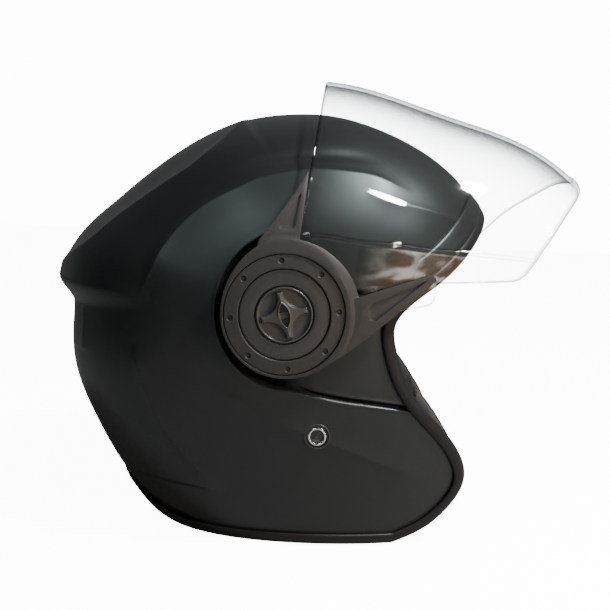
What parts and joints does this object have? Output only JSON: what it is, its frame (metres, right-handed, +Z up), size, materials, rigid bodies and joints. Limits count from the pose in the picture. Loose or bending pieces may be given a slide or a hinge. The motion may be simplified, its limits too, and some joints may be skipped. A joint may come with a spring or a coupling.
{
  "type": "open face motorcycle helmet",
  "caption": "Open face motorcycle helmet: moulded shell with rubber edge trim, padded lining, chin strap with ratchet buckle, and a clear bubble visor that turns on round side covers.",
  "frame": {"origin": "middle of the footprint, on the surface the helmet stands on", "axes": "+X the way the helmet faces, +Y to the wearer's left, +Z up"},
  "size_m": [0.317, 0.2552, 0.2662],
  "materials": {
    "shell_paint": "satin black lacquer over moulded plastic",
    "textured_plastic": "fine grained black",
    "edge_rubber": "satin dark grey extrusion",
    "foam": "beaded black foam",
    "lining_fabric": "brushed black knit",
    "webbing": "woven black webbing",
    "clear_sheet": "clear hard coated polycarbonate",
    "black_plastic": "satin black",
    "slippery_plastic": "dark acetal",
    "knob_plastic": "semi gloss black",
    "chrome_ring": "polished",
    "fastener_steel": "zinc plated",
    "buckle_steel": "nickel plated",
    "lever_paint": "red lacquer"
  },
  "bodies": {
    "helmet": {"outer_shell": "shell_paint", "brow_rim": "textured_plastic", "edge_trim": "edge_rubber", "eps_liner": "foam", "crown_pad": "lining_fabric", "brow_pad": "lining_fabric", "neck_roll": "lining_fabric", "chin_strap_right": "webbing", "chin_strap_left": "webbing", "buckle_housing": "buckle_steel", "lever_pin": "buckle_steel", "lever_spring": "buckle_steel", "temple_pad_right": "lining_fabric", "temple_pad_left": "lining_fabric", "cheek_pad_right": "lining_fabric", "cheek_pad_left": "lining_fabric", "rivet_cup_right": "black_plastic", "rivet_cup_left": "black_plastic", "strap_rivet_right": "chrome_ring", "strap_rivet_left": "chrome_ring", "rivet_washer_right": "fastener_steel", "rivet_washer_left": "fastener_steel", "base_plate_right": "black_plastic", "base_plate_left": "black_plastic", "base_screws_right": "fastener_steel", "base_screws_left": "fastener_steel", "hub_bolt_right": "fastener_steel", "hub_bolt_left": "fastener_steel", "hub_nut_right": "fastener_steel", "hub_nut_left": "fastener_steel", "click_spring_right": "fastener_steel", "click_spring_left": "fastener_steel"},
    "visor": {"visor": "clear_sheet", "ratchet_plate_right": "slippery_plastic", "ratchet_plate_left": "slippery_plastic", "side_cover_right": "textured_plastic", "side_cover_left": "textured_plastic", "cover_ring_right": "textured_plastic", "cover_ring_left": "textured_plastic", "inner_disc_right": "black_plastic", "inner_disc_left": "black_plastic"},
    "lock_knob_right": {"lock_knob_right": "knob_plastic"},
    "lock_knob_left": {"lock_knob_left": "knob_plastic"},
    "buckle_lever": {"buckle_lever": "lever_paint"},
    "buckle_tongue": {"buckle_tongue": "buckle_steel"}
  },
  "joints": [
    {"name": "visor_hinge", "type": "hinge", "parent": "helmet", "child": "visor", "pos_m": [-0.0165, 0, 0.1328], "axis": [0, 1, 0], "range_deg": [0, 50]},
    {"name": "lock_knob_right_turn", "type": "hinge", "parent": "helmet", "child": "lock_knob_right", "pos_m": [-0.0165, -0.125, 0.1328], "axis": [0, -1, 0], "range_deg": [0, 90]},
    {"name": "lock_knob_left_turn", "type": "hinge", "parent": "helmet", "child": "lock_knob_left", "pos_m": [-0.0165, 0.125, 0.1328], "axis": [0, 1, 0], "range_deg": [0, 90]},
    {"name": "buckle_lever_hinge", "type": "hinge", "parent": "helmet", "child": "buckle_lever", "pos_m": [0.00677, 0.018, 0.01736], "axis": [-0.9986, 0, -0.0523], "range_deg": [0, 30], "stiffness_Nm_per_rad": 0.01},
    {"name": "buckle_tongue_slide", "type": "slide", "parent": "helmet", "child": "buckle_tongue", "axis": [0, -1, 0], "range_m": [0, 0.012], "deforming": ["chin_strap_right"]}
  ]
}
